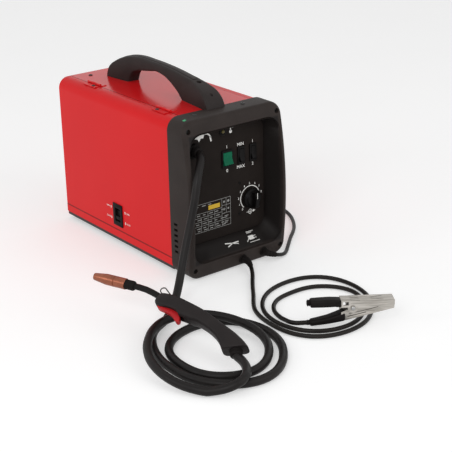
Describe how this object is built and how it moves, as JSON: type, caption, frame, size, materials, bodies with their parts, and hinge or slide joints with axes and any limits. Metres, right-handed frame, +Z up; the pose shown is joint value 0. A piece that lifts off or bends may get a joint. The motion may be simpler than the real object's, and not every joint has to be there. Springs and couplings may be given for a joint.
{
  "type": "mig welding machine",
  "caption": "Compact portable MIG welder: red sheet case with hinged side door, black front with switches and dial, carry handle, torch, work clamp and cables.",
  "frame": {"origin": "on the floor under the middle of the case width, 165 mm behind the front edge of the red sheets", "axes": "+X to the right seen from the front, -Y out of the front, +Z up"},
  "size_m": [0.6442, 0.8645, 0.3621],
  "materials": {
    "red_paint": "glossy baked enamel",
    "dark_steel": "satin black paint",
    "zinc_sheet": "zinc plated sheet",
    "front_plastic": "fine grained moulding",
    "panel_plastic": "printed panel film",
    "handle_plastic": "grained moulding",
    "black_plastic": "polished moulding",
    "green_plastic": "translucent lens",
    "amber_lens": "translucent lens",
    "red_plastic": "polished moulding",
    "torch_plastic": "grained moulding",
    "black_screw": "black oxide",
    "rubber_black": "moulded",
    "cable_rubber": "extruded sheath",
    "board": "circuit board",
    "core_steel": "stacked laminations",
    "copper_coil": "varnished winding",
    "alu": "extruded",
    "steel": "turned",
    "copper": "turned copper",
    "brass_turned": "turned",
    "zinc_jaw": "zinc plated pressing",
    "spring_wire": "spring wire"
  },
  "bodies": {
    "machine": {"base_tray": "dark_steel", "side_sills": "red_paint", "rear_panel": "red_paint", "top_plate": "red_paint", "right_panel": "red_paint", "door_hinges": "red_paint", "carry_handle": "handle_plastic", "front_bezel": "front_plastic", "case_screws": "black_screw", "rubber_feet": "rubber_black", "divider_wall": "zinc_sheet", "control_panel": "panel_plastic", "switch_frames": "black_plastic", "thermal_lamp": "amber_lens", "control_board": "board", "torch_gland": "rubber_black", "cord_glands": "rubber_black", "transformer_core": "core_steel", "transformer_coils": "copper_coil", "rectifier_sink": "alu", "fan_frame": "front_plastic", "feed_motor": "dark_steel", "feed_plate": "alu", "spool_hub": "front_plastic", "gas_inlet": "brass_turned", "torch_handle_left": "torch_plastic", "torch_handle_right": "torch_plastic", "torch_neck": "black_plastic", "nozzle_collar": "front_plastic", "gas_nozzle": "copper", "contact_tip": "copper", "torch_hook": "spring_wire", "torch_lead": "cable_rubber", "torch_coil": "cable_rubber", "earth_lead": "cable_rubber", "earth_coil": "cable_rubber", "clamp_bottom_jaw": "zinc_jaw", "clamp_bottom_grip": "rubber_black", "clamp_spring": "spring_wire", "mains_lead": "cable_rubber", "mains_coil": "cable_rubber", "mains_tie": "rubber_black", "mains_plug": "black_plastic"},
    "door": {"side_door": "red_paint", "latch_plate": "black_plastic"},
    "latch": {"latch_slider": "black_plastic"},
    "power_switch": {"power_rocker": "green_plastic"},
    "range_switch": {"range_rocker": "black_plastic"},
    "step_switch": {"step_rocker": "black_plastic"},
    "speed_dial": {"speed_knob": "black_plastic"},
    "fan": {"fan_rotor": "front_plastic"},
    "drive": {"drive_roll": "steel"},
    "feeder_arm": {"pressure_arm": "black_plastic"},
    "idler": {"pressure_roll": "steel"},
    "tension": {"tension_knob": "red_plastic"},
    "spool": {"wire_spool": "front_plastic", "spool_wire": "copper"},
    "trigger": {"torch_trigger": "red_plastic"},
    "clamp_upper": {"clamp_top_jaw": "zinc_jaw", "clamp_top_grip": "rubber_black"}
  },
  "joints": [
    {"name": "door_hinge", "type": "hinge", "parent": "machine", "child": "door", "pos_m": [-0.0835, 0, 0.308], "axis": [0, 1, 0], "range_deg": [0, 95]},
    {"name": "latch_slide", "type": "slide", "parent": "door", "child": "latch", "axis": [0, 0, 1], "range_m": [0, 0.009]},
    {"name": "power_rock", "type": "hinge", "parent": "machine", "child": "power_switch", "pos_m": [0.002, -0.189, 0.211], "axis": [1, 0, 0], "range_deg": [0, 24]},
    {"name": "range_rock", "type": "hinge", "parent": "machine", "child": "range_switch", "pos_m": [0.035, -0.189, 0.211], "axis": [1, 0, 0], "range_deg": [0, 24]},
    {"name": "step_rock", "type": "hinge", "parent": "machine", "child": "step_switch", "pos_m": [0.0635, -0.189, 0.211], "axis": [1, 0, 0], "range_deg": [0, 24]},
    {"name": "speed_turn", "type": "hinge", "parent": "machine", "child": "speed_dial", "pos_m": [0.057, -0.2, 0.12], "axis": [0, -1, 0], "range_deg": [-135, 135]},
    {"name": "fan_spin", "type": "hinge", "parent": "machine", "child": "fan", "pos_m": [0.04, 0.2, 0.17], "axis": [0, 1, 0], "continuous": true},
    {"name": "drive_spin", "type": "hinge", "parent": "machine", "child": "drive", "pos_m": [-0.076, -0.11, 0.2274], "axis": [1, 0, 0], "continuous": true},
    {"name": "arm_lift", "type": "hinge", "parent": "machine", "child": "feeder_arm", "pos_m": [-0.0655, -0.142, 0.263], "axis": [1, 0, 0], "range_deg": [0, 20]},
    {"name": "idler_spin", "type": "hinge", "parent": "feeder_arm", "child": "idler", "pos_m": [-0.076, -0.11, 0.2538], "axis": [1, 0, 0], "continuous": true},
    {"name": "tension_turn", "type": "hinge", "parent": "feeder_arm", "child": "tension", "pos_m": [-0.0655, -0.084, 0.272], "axis": [0, 0, 1], "continuous": true},
    {"name": "spool_spin", "type": "hinge", "parent": "machine", "child": "spool", "pos_m": [-0.07, 0.1, 0.165], "axis": [1, 0, 0], "continuous": true},
    {"name": "trigger_pull", "type": "hinge", "parent": "machine", "child": "trigger", "pos_m": [-0.27841, -0.36489, 0.05791], "axis": [-0.4578, -0.2511, 0.8529], "range_deg": [0, 6], "stiffness_Nm_per_rad": 1, "springref_deg": -1.72},
    {"name": "clamp_open", "type": "hinge", "parent": "machine", "child": "clamp_upper", "pos_m": [-0.00636, -0.54214, 0.0392], "axis": [-0.5402, -0.8415, 0], "range_deg": [0, 14], "stiffness_Nm_per_rad": 4, "springref_deg": -11.46}
  ],
  "couplings": [
    {"joint": "idler_spin", "follows": "drive_spin", "ratio": -1.52},
    {"joint": "spool_spin", "follows": "drive_spin", "ratio": 0.18095}
  ]
}
